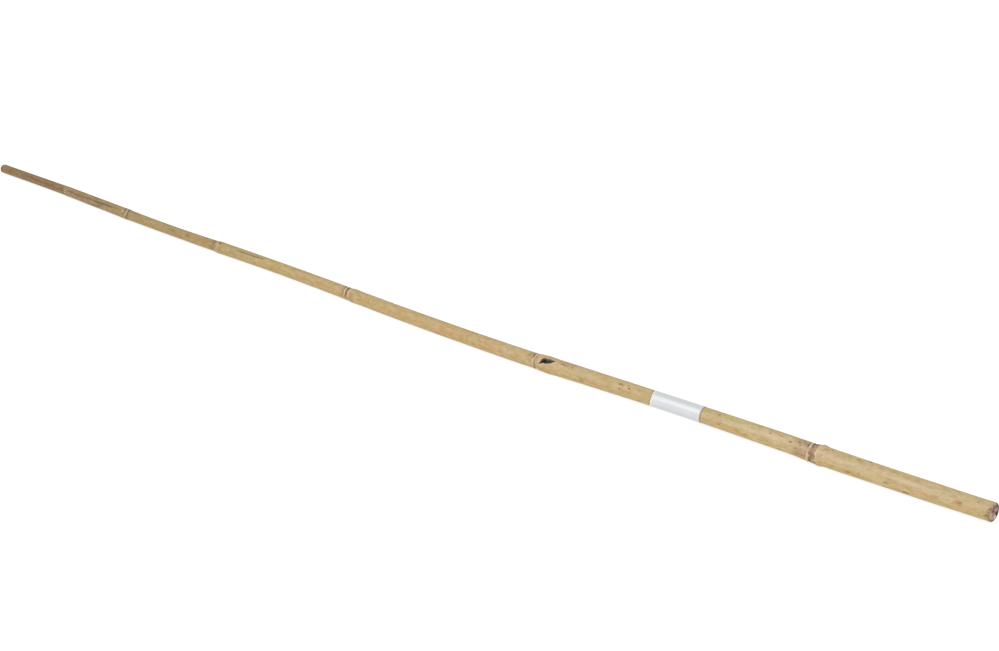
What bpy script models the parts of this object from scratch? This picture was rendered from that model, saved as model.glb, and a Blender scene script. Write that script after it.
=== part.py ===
"""A bamboo garden cane lying on a surface, with a plain band of label round it near the thick end.

Units are metres and +Z is up. The cane lies along X with its thick end at +X. The floor is z = 0.
Angles round the cane are measured from +Y towards +Z.
"""

import math

import bmesh
import bpy
from mathutils import Matrix, Vector

MM = 0.001

# Size of the cane
TIP_X = -899.5 * MM
BUTT_X = 899.5 * MM
SIDES = 28
PLAN_SHIFT = 9.27 * MM

# Direction that the rings of the nodes lean by, as seen round the cane
NEAR_ANGLE = math.radians(152.0)

# Each stretch between nodes, from the thin end: radius at its start, at its waist and at its end
STEM_RADII = (
    (6.90, 6.84, 7.08),
    (7.30, 7.60, 7.80),
    (7.42, 7.15, 7.54),
    (8.36, 8.04, 8.27),
    (8.76, 8.86, 9.02),
    (9.75, 9.03, 9.60),
    (10.50, 10.16, 9.85),
)

# Each node in millimetres: place of its ring, how far its near side and its upper side lean to the thick
# end, height of the scar's lip, depth of the groove behind it, then the swelling: height, distance from
# the ring, length of its rise and length of its fall
NODES = (
    (-717.0, 2.5, 0.0, 0.10, 0.12, 0.12, 7.0, 7.0, 10.0),
    (-534.0, 3.0, 0.0, 0.16, 0.16, 0.20, -5.0, 12.0, 9.0),
    (-316.0, 3.0, 0.0, 0.16, 0.20, 0.20, 9.0, 7.0, 14.0),
    (-24.0, 2.5, 0.0, 0.20, 0.26, 0.30, 9.0, 7.0, 14.0),
    (312.0, 2.6, -2.0, 0.22, 0.28, 0.35, 21.0, 13.0, 15.0),
    (694.2, 1.6, 0.4, 0.42, 0.34, 1.05, 12.3, 4.0, 8.0),
)

# Shape of a lip and of a groove: distance from the ring, length of its rise and length of its fall
LIP_SHAPE = (0.0, 1.1, 1.0)
GROOVE_SHAPE = (1.9, 1.1, 2.6)

# How far past a ring the radius takes to reach that of the next stretch
STEP_LENGTH = 11.0

# Centre line at the thin end, at each node and at the thick end: sideways place and height
CENTRES = (
    (0.0, 7.55),
    (-0.2, 7.17),
    (-8.6, 8.35),
    (-11.6, 8.90),
    (-15.0, 9.35),
    (-18.0, 9.73),
    (-7.9, 11.28),
    (0.0, 10.60),
)

# Sideways bow of each stretch between nodes, in millimetres
BOWS = (0.3, 0.0, -1.5, 1.9, -2.6, 3.0, -1.0)

# Half the length over which the turn at a node is spread
TURN_REACH = 6.0 * MM

# Lengthwise furrow in the stretch above the thin end's first node
FURROW_FROM = -800.0 * MM
FURROW_TO = -572.0 * MM
FURROW_DEPTH = 0.45 * MM
FURROW_ANGLE = math.radians(150.0)
FURROW_WIDTH = math.radians(17.0)
FURROW_FADE = 30.0 * MM

# Spacing of the rings of points along the stem, and round each node as distances from its scar
STEM_STEP = 40.0 * MM
STRONG_STEPS = (-26.0, -16.0, -8.0, -2.2, -0.9, 0.0, 0.9, 1.9, 3.4, 6.5, 9.0, 11.0, 12.6, 15.5, 20.0, 26.0, 34.0)
LIGHT_STEPS = (-16.0, -8.0, -2.0, -0.8, 0.2, 1.4, 3.0, 7.0, 12.0, 18.0, 26.0, 36.0)
LEAN_FADE = 60.0 * MM

# Cut ends
END_ROUND = 0.7 * MM
BUTT_HOLLOW_RADIUS = 4.3 * MM
BUTT_HOLLOW_DEPTH = 38.0 * MM
BUTT_HOLLOW_OFF = (1.6 * MM, 0.7 * MM)
TIP_HOLLOW_RADIUS = 2.2 * MM
TIP_HOLLOW_DEPTH = 25.0 * MM
HOLLOW_SIDES = 16

# Taper of a hollow: shares of its depth, with the shares of its radius there
HOLLOW_TAPER = ((0.0, 1.0), (0.1, 0.62), (0.6, 0.5), (1.0, 0.4))

# Unevenness of a hollow: waves round it, their height as a share of the radius and their turn
HOLLOW_WAVES = ((2, 0.07, 0.6), (3, 0.04, 0.0))

# How far the cutter of a hollow reaches out of the cut end
CUTTER_OVERRUN = 5.0 * MM

# Broken hole beside the swollen node, as distances along and round the cane from its middle
HOLE_X = 334.0 * MM
HOLE_ANGLE = math.radians(132.0)
HOLE_CUTTER_RADIUS = 13.5 * MM
HOLE_WALL_RADIUS = 9.0 * MM
HOLE_FLOOR_RADIUS = 5.0 * MM
HOLE_RIM = (
    (-7.5, 1.5), (-9.2, 6.0), (-6.4, 4.9), (-3.4, 3.2), (0.5, 3.7), (3.4, 2.4), (6.0, 1.7),
    (8.5, -0.3), (12.0, -2.6), (8.0, -3.4), (3.5, -3.9), (-1.0, -3.1), (-4.6, -3.6), (-6.9, -1.4),
)
HOLE_WALL_SHARE = 0.97
HOLE_FLOOR_SHARE = 0.72

# Bud scar beside the third node
BUD_X = -306.0 * MM
BUD_ANGLE = math.radians(112.0)
BUD_HEIGHT = 0.35 * MM
BUD_SPREAD = 2.6 * MM

# One-sided swelling that leads up to the last node's ring, on its lower near side
BULGE_X = 698.2 * MM
BULGE_ANGLE = math.radians(225.0)
BULGE_HEIGHT = 0.95 * MM
BULGE_RISE = 28.0 * MM
BULGE_FALL = 8.0 * MM
BULGE_WIDTH = math.radians(35.0)

# Label band
LABEL_FROM = 483.5 * MM
LABEL_TO = 553.0 * MM
LABEL_LEAN = 2.0 * MM
LABEL_GAP = 0.25 * MM
LABEL_THICKNESS = 0.25 * MM
LABEL_STEPS = 4

# Box that takes off what reaches below the floor: length, width and height
FLOOR_CUTTER = (2.2, 0.2, 0.02)

# Colours
CANE_COLOUR = (0.560, 0.402, 0.192, 1.0)
CANE_ROUGHNESS = 0.48
LABEL_COLOUR = (0.780, 0.800, 0.830, 1.0)
LABEL_ROUGHNESS = 0.35


def clear_scene():
    for old in list(bpy.data.objects):
        bpy.data.objects.remove(old, do_unlink=True)


def plain_material(name, colour, roughness):
    material = bpy.data.materials.new(name)
    material.use_nodes = True
    shader = material.node_tree.nodes["Principled BSDF"]
    shader.inputs["Base Color"].default_value = colour
    shader.inputs["Roughness"].default_value = roughness
    shader.inputs["Metallic"].default_value = 0.0
    return material


def ease(t):
    """A smooth step from 0 to 1."""
    t = min(max(t, 0.0), 1.0)
    return t * t * (3.0 - 2.0 * t)


def hump(t, middle, rise, fall):
    """A smooth rise to 1 at the middle and a smooth fall after it."""
    if t < middle:
        return ease((t - middle + rise) / rise)
    return ease((middle + fall - t) / fall)


def node_places():
    """The rings of the nodes along X, with both ends of the cane."""
    return [TIP_X] + [node[0] * MM for node in NODES] + [BUTT_X]


def stretch_of(x):
    """The stretch between nodes that holds x, and how far along it x lies."""
    places = node_places()
    last = len(places) - 2
    for index in range(last + 1):
        if x < places[index + 1] or index == last:
            share = (x - places[index]) / (places[index + 1] - places[index])
            return index, min(max(share, 0.0), 1.0)
    return last, 1.0


def stretch_radius(index, share):
    """Radius of a stretch, waisted between its two ends, in millimetres."""
    start, waist, end = STEM_RADII[index]
    if share < 0.5:
        return waist + (start - waist) * (1.0 - ease(2.0 * share))
    return waist + (end - waist) * ease(2.0 * share - 1.0)


def node_relief(x):
    """What the nodes add to the radius: lips, grooves and swellings, in millimetres."""
    total = 0.0
    for place, _near, _upper, lip, groove, swell, far, rise, fall in NODES:
        t = x / MM - place
        total += lip * hump(t, *LIP_SHAPE)
        total -= groove * hump(t, *GROOVE_SHAPE)
        total += swell * hump(t, far, rise, fall)
    return total


def stem_radius(x):
    """Radius of the stem, stepping from one stretch to the next just past each ring, in millimetres."""
    index, share = stretch_of(x)
    radius = stretch_radius(index, share)
    if index > 0:
        before = STEM_RADII[index - 1][2]
        past = (x / MM - NODES[index - 1][0]) / STEP_LENGTH
        radius = before + (radius - before) * ease(past)
    return radius + node_relief(x)


def furrow(x, angle):
    """Depth of the lengthwise furrow, in metres."""
    along = ease((x - FURROW_FROM) / FURROW_FADE) * ease((FURROW_TO - x) / FURROW_FADE)
    turn = math.remainder(angle - FURROW_ANGLE, math.tau)
    return FURROW_DEPTH * along * math.exp(-((turn / FURROW_WIDTH) ** 2))


def bud(x, angle, radius):
    """Height of the bud scar, in metres."""
    around = math.remainder(angle - BUD_ANGLE, math.tau) * radius
    far = math.hypot(x - BUD_X, around) / BUD_SPREAD
    return BUD_HEIGHT * math.exp(-far * far)


def bulge(x, angle):
    """Height of the one-sided swelling before the last node's ring, in metres."""
    along = hump(x - BULGE_X, 0.0, BULGE_RISE, BULGE_FALL)
    turn = math.remainder(angle - BULGE_ANGLE, math.tau)
    return BULGE_HEIGHT * along * math.exp(-((turn / BULGE_WIDTH) ** 2))


def surface_radius(x, angle):
    """Distance from the centre line to the bark, in metres."""
    radius = stem_radius(x) * MM
    return radius - furrow(x, angle) + bud(x, angle, radius) + bulge(x, angle)


def centre_line(x):
    """Centre of the cane at x: straight between nodes but for a slight bow, with a slight turn at each."""
    index, share = stretch_of(x)
    first, second = CENTRES[index], CENTRES[index + 1]
    side = first[0] + (second[0] - first[0]) * share + BOWS[index] * 4.0 * share * (1.0 - share)
    height = first[1] + (second[1] - first[1]) * share
    return Vector((x, side * MM + PLAN_SHIFT, height * MM))


def softened_centre(x):
    """The centre line with the turn at each node spread over a few millimetres."""
    inside = [min(max(x + shift, TIP_X), BUTT_X) for shift in (-TURN_REACH, 0.0, TURN_REACH)]
    mean = sum((centre_line(value) for value in inside), Vector()) / 3.0
    mean.x = x
    return mean


def direction(angle):
    return Vector((0.0, math.cos(angle), math.sin(angle)))


def lean(x, angle):
    """How far the rings near a node lean along the cane on this side of it."""
    total = 0.0
    for node in NODES:
        fade = ease(1.0 - abs(x - node[0] * MM) / LEAN_FADE)
        near = node[1] * math.cos(angle - NEAR_ANGLE)
        upper = node[2] * math.cos(angle - NEAR_ANGLE + math.pi / 2.0)
        total += fade * (near + upper) * MM
    return total


def bark_point(x, angle, outward=0.0):
    """A point on the bark, or just outside it."""
    radius = surface_radius(x, angle) + outward
    point = softened_centre(x) + direction(angle) * radius
    point.x += lean(x, angle)
    return point


def ring_places():
    """Where the rings of points lie along the cane."""
    places = set()
    for index, node in enumerate(NODES):
        steps = STRONG_STEPS if index == len(NODES) - 1 else LIGHT_STEPS
        places.update(round(node[0] * MM + step * MM, 6) for step in steps)
    fixed = sorted(places) + [BUTT_X - END_ROUND]
    last = TIP_X + END_ROUND
    result = [last]
    for place in fixed:
        count = max(1, math.ceil((place - last) / STEM_STEP))
        result.extend(last + (place - last) * step / count for step in range(1, count + 1))
        last = place
    return result


def ring_of_points(mesh, x, outward=0.0):
    angles = [math.tau * (side + 0.5) / SIDES for side in range(SIDES)]
    return [mesh.verts.new(bark_point(x, angle, outward)) for angle in angles]


def end_ring(mesh, x, inward):
    """The ring at the very edge of a cut face, drawn in by the worn edge."""
    angles = [math.tau * (side + 0.5) / SIDES for side in range(SIDES)]
    middle = softened_centre(x)
    return [
        mesh.verts.new(middle + direction(angle) * (surface_radius(x, angle) - inward))
        for angle in angles
    ]


def join_rings(mesh, first, second):
    count = len(first)
    for side in range(count):
        following = (side + 1) % count
        mesh.faces.new((first[side], first[following], second[following], second[side]))


def finish_mesh(mesh, name, material):
    """Turns the faces outwards and makes the object."""
    bmesh.ops.recalc_face_normals(mesh, faces=mesh.faces)
    data = bpy.data.meshes.new(name)
    mesh.to_mesh(data)
    mesh.free()
    made = bpy.data.objects.new(name, data)
    bpy.context.scene.collection.objects.link(made)
    if material is not None:
        data.materials.append(material)
    return made


def make_stem(material):
    """The whole stem as one closed body, before its hollows and flats are cut."""
    mesh = bmesh.new()
    rings = [end_ring(mesh, TIP_X, END_ROUND)]
    rings += [ring_of_points(mesh, x) for x in ring_places()]
    rings.append(end_ring(mesh, BUTT_X, END_ROUND))
    for first, second in zip(rings, rings[1:]):
        join_rings(mesh, first, second)
    mesh.faces.new(rings[0])
    mesh.faces.new(rings[-1])
    return finish_mesh(mesh, "cane", material)


def helper(mesh, name):
    """A cutter, which is never rendered."""
    made = finish_mesh(mesh, name, None)
    made.hide_render = True
    made.display_type = "WIRE"
    return made


def hollow_cutter(name, x, depth, radius, off):
    """A slightly narrowing plug for the hollow in a cut end. A negative depth goes towards the thick end."""
    mesh = bmesh.new()
    middle = softened_centre(x) + Vector((0.0, off[0], off[1]))
    outside = math.copysign(CUTTER_OVERRUN, depth)
    levels = [(outside, 1.0)] + [(-down * depth, share) for down, share in HOLLOW_TAPER]
    rings = []
    for place, share in levels:
        ring = []
        for side in range(HOLLOW_SIDES):
            angle = math.tau * side / HOLLOW_SIDES
            uneven = 1.0 + sum(high * math.cos(n * angle + turn) for n, high, turn in HOLLOW_WAVES)
            point = middle + direction(angle) * radius * share * uneven
            ring.append(mesh.verts.new(point + Vector((place, 0.0, 0.0))))
        rings.append(ring)
    for first, second in zip(rings, rings[1:]):
        join_rings(mesh, first, second)
    mesh.faces.new(rings[0])
    mesh.faces.new(rings[-1])
    return helper(mesh, name)


def hole_cutter():
    """The ragged plug of the broken hole: its rim outside the bark, narrowing to its floor."""
    mesh = bmesh.new()
    middle = softened_centre(HOLE_X)
    out = direction(HOLE_ANGLE)
    round_way = direction(HOLE_ANGLE + math.pi / 2.0)
    levels = (
        (HOLE_CUTTER_RADIUS, 1.0),
        (HOLE_WALL_RADIUS, HOLE_WALL_SHARE),
        (HOLE_FLOOR_RADIUS, HOLE_FLOOR_SHARE),
    )
    rings = []
    for radius, share in levels:
        ring = []
        for along, around in HOLE_RIM:
            point = middle + out * radius + round_way * around * MM * share
            point.x += along * MM * share
            ring.append(mesh.verts.new(point))
        rings.append(ring)
    for first, second in zip(rings, rings[1:]):
        join_rings(mesh, first, second)
    mesh.faces.new(rings[0])
    mesh.faces.new(rings[-1])
    return helper(mesh, "hole_cutter")


def floor_cutter():
    """Takes off what would reach below the floor, which leaves the flat spots that the cane rests on."""
    mesh = bmesh.new()
    bmesh.ops.create_cube(mesh, size=1.0, matrix=Matrix.Diagonal((*FLOOR_CUTTER, 1.0)))
    bmesh.ops.translate(mesh, verts=mesh.verts, vec=(0.0, 0.0, -0.5 * FLOOR_CUTTER[2]))
    return helper(mesh, "floor_cutter")


def cut(target, cutter):
    """Cuts one shape out of another and keeps the result in the mesh."""
    modifier = target.modifiers.new(cutter.name, "BOOLEAN")
    modifier.operation = "DIFFERENCE"
    modifier.solver = "EXACT"
    modifier.object = cutter


def make_cane():
    stem = make_stem(plain_material("bamboo", CANE_COLOUR, CANE_ROUGHNESS))
    cutters = (
        hollow_cutter("butt_hollow", BUTT_X, BUTT_HOLLOW_DEPTH, BUTT_HOLLOW_RADIUS, BUTT_HOLLOW_OFF),
        hollow_cutter("tip_hollow", TIP_X, -TIP_HOLLOW_DEPTH, TIP_HOLLOW_RADIUS, (0.0, 0.0)),
        hole_cutter(),
        floor_cutter(),
    )
    for cutter in cutters:
        cut(stem, cutter)
    return stem


def label_ring(mesh, x, outward):
    """A ring of the label, on the same sides as the bark below it."""
    ring = []
    for side in range(SIDES):
        angle = math.tau * (side + 0.5) / SIDES
        along = x + LABEL_LEAN * math.cos(angle - NEAR_ANGLE)
        point = softened_centre(along) + direction(angle) * (surface_radius(along, angle) + outward)
        ring.append(mesh.verts.new(point))
    return ring


def make_label():
    """The band of label: a thin sleeve that follows the bark, just clear of it."""
    mesh = bmesh.new()
    steps = [LABEL_FROM + (LABEL_TO - LABEL_FROM) * step / LABEL_STEPS for step in range(LABEL_STEPS + 1)]
    inner = [label_ring(mesh, x, LABEL_GAP) for x in steps]
    outer = [label_ring(mesh, x, LABEL_GAP + LABEL_THICKNESS) for x in steps]
    loop = inner + outer[::-1]
    for first, second in zip(loop, loop[1:] + loop[:1]):
        join_rings(mesh, first, second)
    return finish_mesh(mesh, "label", plain_material("label_paper", LABEL_COLOUR, LABEL_ROUGHNESS))


def shade_smooth(made):
    for face in made.data.polygons:
        face.use_smooth = True


def main():
    clear_scene()
    for made in (make_cane(), make_label()):
        shade_smooth(made)


main()
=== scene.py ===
import math

import bpy
import numpy as np
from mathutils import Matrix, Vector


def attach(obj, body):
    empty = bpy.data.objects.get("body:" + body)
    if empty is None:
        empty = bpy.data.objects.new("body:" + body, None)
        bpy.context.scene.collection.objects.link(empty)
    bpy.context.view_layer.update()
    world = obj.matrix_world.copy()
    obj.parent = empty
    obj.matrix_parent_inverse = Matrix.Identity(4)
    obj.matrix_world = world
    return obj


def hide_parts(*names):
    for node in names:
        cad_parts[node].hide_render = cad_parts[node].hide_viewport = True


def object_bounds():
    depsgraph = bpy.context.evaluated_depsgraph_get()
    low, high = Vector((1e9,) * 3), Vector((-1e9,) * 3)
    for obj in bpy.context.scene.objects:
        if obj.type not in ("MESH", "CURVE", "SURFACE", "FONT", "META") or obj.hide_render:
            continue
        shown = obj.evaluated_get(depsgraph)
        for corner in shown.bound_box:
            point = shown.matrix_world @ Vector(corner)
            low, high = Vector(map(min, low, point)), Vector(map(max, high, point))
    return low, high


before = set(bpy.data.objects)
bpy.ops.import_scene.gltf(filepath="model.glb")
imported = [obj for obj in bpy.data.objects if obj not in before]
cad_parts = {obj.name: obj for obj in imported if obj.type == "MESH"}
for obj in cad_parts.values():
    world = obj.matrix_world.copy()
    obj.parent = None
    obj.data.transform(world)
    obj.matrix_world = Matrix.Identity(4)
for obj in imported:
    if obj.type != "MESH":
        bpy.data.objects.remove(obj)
CAD_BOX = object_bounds()

MM = 0.001

# Size of the cane in millimetres, as in the part's source
TIP_X = -899.5
BUTT_X = 899.5
PLAN_SHIFT = 9.27
NEAR_ANGLE = math.radians(152.0)

# Radius at the start, the waist and the end of each stretch between nodes
STEM_RADII = np.array([
    (6.90, 6.84, 7.08),
    (7.30, 7.60, 7.80),
    (7.42, 7.15, 7.54),
    (8.36, 8.04, 8.27),
    (8.76, 8.86, 9.02),
    (9.75, 9.03, 9.60),
    (10.50, 10.16, 9.85),
])

# Each node: place, lean to the near side and upwards, height of lip, depth of groove, height of swelling,
# and where the swelling peaks, how far it rises and how far it falls
NODES = (
    (-717.0, 2.5, 0.0, 0.10, 0.12, 0.12, 7.0, 7.0, 10.0),
    (-534.0, 3.0, 0.0, 0.16, 0.16, 0.20, -5.0, 12.0, 9.0),
    (-316.0, 3.0, 0.0, 0.16, 0.20, 0.20, 9.0, 7.0, 14.0),
    (-24.0, 2.5, 0.0, 0.20, 0.26, 0.30, 9.0, 7.0, 14.0),
    (312.0, 2.6, -2.0, 0.22, 0.28, 0.35, 21.0, 13.0, 15.0),
    (694.2, 1.6, 0.4, 0.42, 0.34, 1.05, 12.3, 4.0, 8.0),
)
STRONG_NODE = len(NODES) - 1
NODE_SETTLE = 11.0
LEAN_FADE = 60.0

# A node's lip and groove: place from the ring, and how far each rises and falls
LIP = (0.0, 1.1, 1.0)
GROOVE = (1.9, 1.1, 2.6)

# Side and height of the centre line at the ends and nodes, and how far each stretch bows sideways
CENTRES = np.array([
    (0.0, 7.55),
    (-0.2, 7.17),
    (-8.6, 8.35),
    (-11.6, 8.90),
    (-15.0, 9.35),
    (-18.0, 9.73),
    (-7.9, 11.28),
    (0.0, 10.60),
])
BOWS = np.array([0.3, 0.0, -1.5, 1.9, -2.6, 3.0, -1.0])
CENTRE_SOFTENING = 6.0

# Furrow: from, to, depth, angle and half width. Bud scar: place, angle, height and radius.
# Swelling on one side: place, angle, height, rise, fall and half width
FURROW = (-800.0, -572.0, 0.45, math.radians(150.0), math.radians(17.0))
FURROW_FADE = 30.0
BUD = (-306.0, math.radians(112.0), 0.35, 2.6)
BULGE = (698.2, math.radians(225.0), 0.95, 28.0, 8.0, math.radians(35.0))

# Sawn ends: rounding of the rim, then radius, depth and offsets of each hollow
END_ROUND = 0.7
BUTT_HOLLOW = (4.3, 38.0, 1.6, 0.7)
TIP_HOLLOW = (2.2, 25.0, 0.0, 0.0)

# Share of a hollow's depth and of its radius, from the cut inwards
HOLLOW_TAPER = (
    (0.02, 0.93), (0.045, 0.83), (0.07, 0.73), (0.10, 0.62), (0.25, 0.59), (0.6, 0.5), (1.0, 0.4),
)

# Share of the way from a cut's rim to its hollow, for each ring of the cut face
CUT_SHARES = (0.06, 0.14, 0.25, 0.36, 0.47, 0.58, 0.69, 0.80, 0.90, 0.97, 1.0)
CUT_ROUGHNESS = 0.16

# Broken hole, as distances along and round the cane from its middle
HOLE_X = 334.0
HOLE_ANGLE = math.radians(132.0)
HOLE_RIM = np.array([
    (-7.5, 1.5), (-9.2, 6.0), (-6.4, 4.9), (-3.4, 3.2), (0.5, 3.7), (3.4, 2.4), (6.0, 1.7),
    (8.5, -0.3), (12.0, -2.6), (8.0, -3.4), (3.5, -3.9), (-1.0, -3.1), (-4.6, -3.6), (-6.9, -1.4),
])
HOLE_FLOOR = 5.2
HOLE_FLOOR_WAVES = 0.7
HOLE_WALL = 9.0
HOLE_WALL_WIDTH = 1.3
HOLE_LIP = 0.28

# Label band
LABEL_FROM = 483.5
LABEL_TO = 553.0
LABEL_END_LEANS = (4.0, 2.0)
LABEL_CLEAR = 0.10
LABEL_SHEET = 0.10
LABEL_OVERLAP = math.radians(24.0)
LABEL_SEAM = math.radians(318.0)
LABEL_RADIUS = 9.2
LABEL_TURNS = 112
LABEL_STEPS = 25
LABEL_RIM = 1.3
LABEL_RISE_TURN = 0.15
LABEL_RISE = 1.25
LABEL_WAVES = 0.012

# Height of the bark's fine unevenness
GRAIN_HEIGHT = 0.035
PIT_HEIGHT = 0.16
RAGGED_HEIGHT = 0.12
WEAK_SHARE = 0.4

# Where the pitted band and the ragged rim of a node peak, and how far each rises and falls
PIT_BAND = (6.0, 5.0, 6.0)
RAGGED_RIM = (0.0, 1.6, 1.2)

# Fineness of the surface, and how far short of the solids it stays
SIDES = 96
PLAIN_STEP = 4.0
NODE_REACH = 28.0
NODE_STEP = 0.62
HOLE_STEP = 0.40
HOLE_REACH = (14.0, 17.0)
LABEL_REACH = 5.0
CLOSEST_RINGS = 0.22
END_TURNS = (0.5, 0.9, 1.25, math.pi / 2)
SHRINK = 0.995


def ease(t):
    """A soft step from 0 to 1."""
    t = np.clip(t, 0.0, 1.0)
    return t * t * (3.0 - 2.0 * t)


def hump(t, middle, rise, fall):
    """A soft hill that is 1 at its middle."""
    return np.where(t < middle, ease((t - middle + rise) / rise), ease((middle + fall - t) / fall))


def waves(x, angle, seed, along, around, count=7):
    """Smooth uneven values between about -1 and 1 over the bark, the same on each run."""
    draw = np.random.default_rng(seed)
    total = np.zeros(np.broadcast(x, angle).shape)
    for _ in range(count):
        turn = draw.integers(0, around + 1)
        rate = draw.uniform(0.25, 1.0) * math.tau / along
        total = total + np.sin(x * rate + turn * angle * draw.choice((-1, 1)) + draw.uniform(0, math.tau))
    return total / math.sqrt(count)


def places():
    """The cane's ends and nodes, in order along it."""
    return np.array([TIP_X] + [node[0] for node in NODES] + [BUTT_X])


def stretch_of(x):
    """The stretch between nodes that x lies in, and its share of the way along it."""
    marks = places()
    index = np.clip(np.searchsorted(marks, x, side="right") - 1, 0, len(marks) - 2)
    share = (x - marks[index]) / (marks[index + 1] - marks[index])
    return index, np.clip(share, 0.0, 1.0)


def node_relief(x):
    """Height of the lips, grooves and swellings of all nodes at x."""
    total = np.zeros_like(x)
    for place, _near, _upper, lip, groove, swell, far, rise, fall in NODES:
        t = x - place
        total += lip * hump(t, *LIP)
        total -= groove * hump(t, *GROOVE)
        total += swell * hump(t, far, rise, fall)
    return total


def stem_radius(x):
    """Radius of the stem at x, the same all round."""
    index, share = stretch_of(x)
    start, waist, end = (STEM_RADII[index, k] for k in range(3))
    first = waist + (start - waist) * (1.0 - ease(2.0 * share))
    second = waist + (end - waist) * ease(2.0 * share - 1.0)
    radius = np.where(share < 0.5, first, second)
    ring = places()[index]
    before = STEM_RADII[np.maximum(index - 1, 0), 2]
    past = np.where(index > 0, ease((x - ring) / NODE_SETTLE), 1.0)
    return before + (radius - before) * past + node_relief(x)


def turn_from(angle, other):
    """The turn from the other angle to this one, at most half a turn either way."""
    return (angle - other + math.pi) % math.tau - math.pi


def surface_radius(x, angle):
    """Radius with the furrow, the bud scar and the swelling on one side."""
    radius = stem_radius(x)
    low, high, depth, where, width = FURROW
    along = ease((x - low) / FURROW_FADE) * ease((high - x) / FURROW_FADE)
    radius = radius - depth * along * np.exp(-((turn_from(angle, where) / width) ** 2))
    bud_x, bud_angle, bud_height, bud_radius = BUD
    far = np.hypot(x - bud_x, turn_from(angle, bud_angle) * radius) / bud_radius
    place, side, height, rise, fall, spread = BULGE
    swollen = hump(x - place, 0.0, rise, fall) * np.exp(-((turn_from(angle, side) / spread) ** 2))
    return radius + bud_height * np.exp(-far * far) + height * swollen


def centre_line(x):
    """Side and height of the stem's centre at x."""
    index, share = stretch_of(x)
    first, second = CENTRES[index], CENTRES[index + 1]
    side = first[..., 0] + (second[..., 0] - first[..., 0]) * share
    side = side + BOWS[index] * 4.0 * share * (1.0 - share) + PLAN_SHIFT
    height = first[..., 1] + (second[..., 1] - first[..., 1]) * share
    return side, height


def softened_centre(x):
    """The centre line with its corners at the nodes rounded off."""
    shifts = (-CENTRE_SOFTENING, 0.0, CENTRE_SOFTENING)
    lines = [centre_line(np.clip(x + shift, TIP_X, BUTT_X)) for shift in shifts]
    return sum(line[0] for line in lines) / len(lines), sum(line[1] for line in lines) / len(lines)


def lean(x, angle):
    """How far a ring at x is pushed along the stem, so that it stands askew as in the photograph."""
    total = np.zeros(np.broadcast(x, angle).shape)
    for place, near, upper, *_rest in NODES:
        fade = ease(1.0 - np.abs(x - place) / LEAN_FADE)
        to_near = near * np.cos(angle - NEAR_ANGLE)
        to_upper = upper * np.cos(angle - NEAR_ANGLE + math.pi / 2.0)
        total = total + fade * (to_near + to_upper)
    return total


def fine_relief(x, angle):
    """The bark's small unevenness, the ragged rims of its rings and the pitted band at the strong node."""
    total = GRAIN_HEIGHT * waves(x, angle, 11, 60.0, 5)
    for index, node in enumerate(NODES):
        strong = 1.0 if index == STRONG_NODE else WEAK_SHARE
        t = x - node[0]
        band = hump(t, *PIT_BAND)
        total = total + strong * band * PIT_HEIGHT * waves(x, angle, 40 + index, 5.0, 24, 11)
        rim = hump(t, *RAGGED_RIM)
        total = total + strong * rim * RAGGED_HEIGHT * waves(x, angle, 60 + index, 20.0, 12, 9)
    return total


def ring_positions():
    """Positions of the rings: close together at the nodes, the hole and the ends."""
    marks = [TIP_X + END_ROUND * (1 - math.cos(turn)) for turn in END_TURNS]
    marks += [BUTT_X - END_ROUND * (1 - math.cos(turn)) for turn in END_TURNS]
    for node in NODES:
        marks += list(np.arange(node[0] - NODE_REACH * 0.5, node[0] + NODE_REACH, NODE_STEP))
    marks += list(np.arange(HOLE_X - HOLE_REACH[0], HOLE_X + HOLE_REACH[1], HOLE_STEP))
    for edge in (LABEL_FROM, LABEL_TO):
        marks += list(np.arange(edge - LABEL_REACH, edge + LABEL_REACH, NODE_STEP))
    marks = np.unique(np.round(marks, 3))
    result = [marks[0]]
    for mark in marks[1:]:
        gap = mark - result[-1]
        if gap < CLOSEST_RINGS:
            continue
        count = max(1, math.ceil(gap / PLAIN_STEP))
        result += [result[-1] + gap * (k + 1) / count for k in range(count)]
    return np.array(result)


def inside_rim(along, around):
    """Signed distance to the hole's rim: positive inside it."""
    points = HOLE_RIM
    inside = np.zeros(along.shape, bool)
    nearest = np.full(along.shape, 1e9)
    for (x0, y0), (x1, y1) in zip(points, np.roll(points, -1, axis=0)):
        crosses = (y0 > around) != (y1 > around)
        step = (x1 - x0) * (around - y0) / (y1 - y0 if y1 != y0 else 1e-9) + x0
        inside ^= crosses & (along < step)
        length = (x1 - x0) ** 2 + (y1 - y0) ** 2
        share = np.clip(((along - x0) * (x1 - x0) + (around - y0) * (y1 - y0)) / length, 0, 1)
        far = np.hypot(along - x0 - share * (x1 - x0), around - y0 - share * (y1 - y0))
        nearest = np.minimum(nearest, far)
    return np.where(inside, nearest, -nearest)


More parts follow.
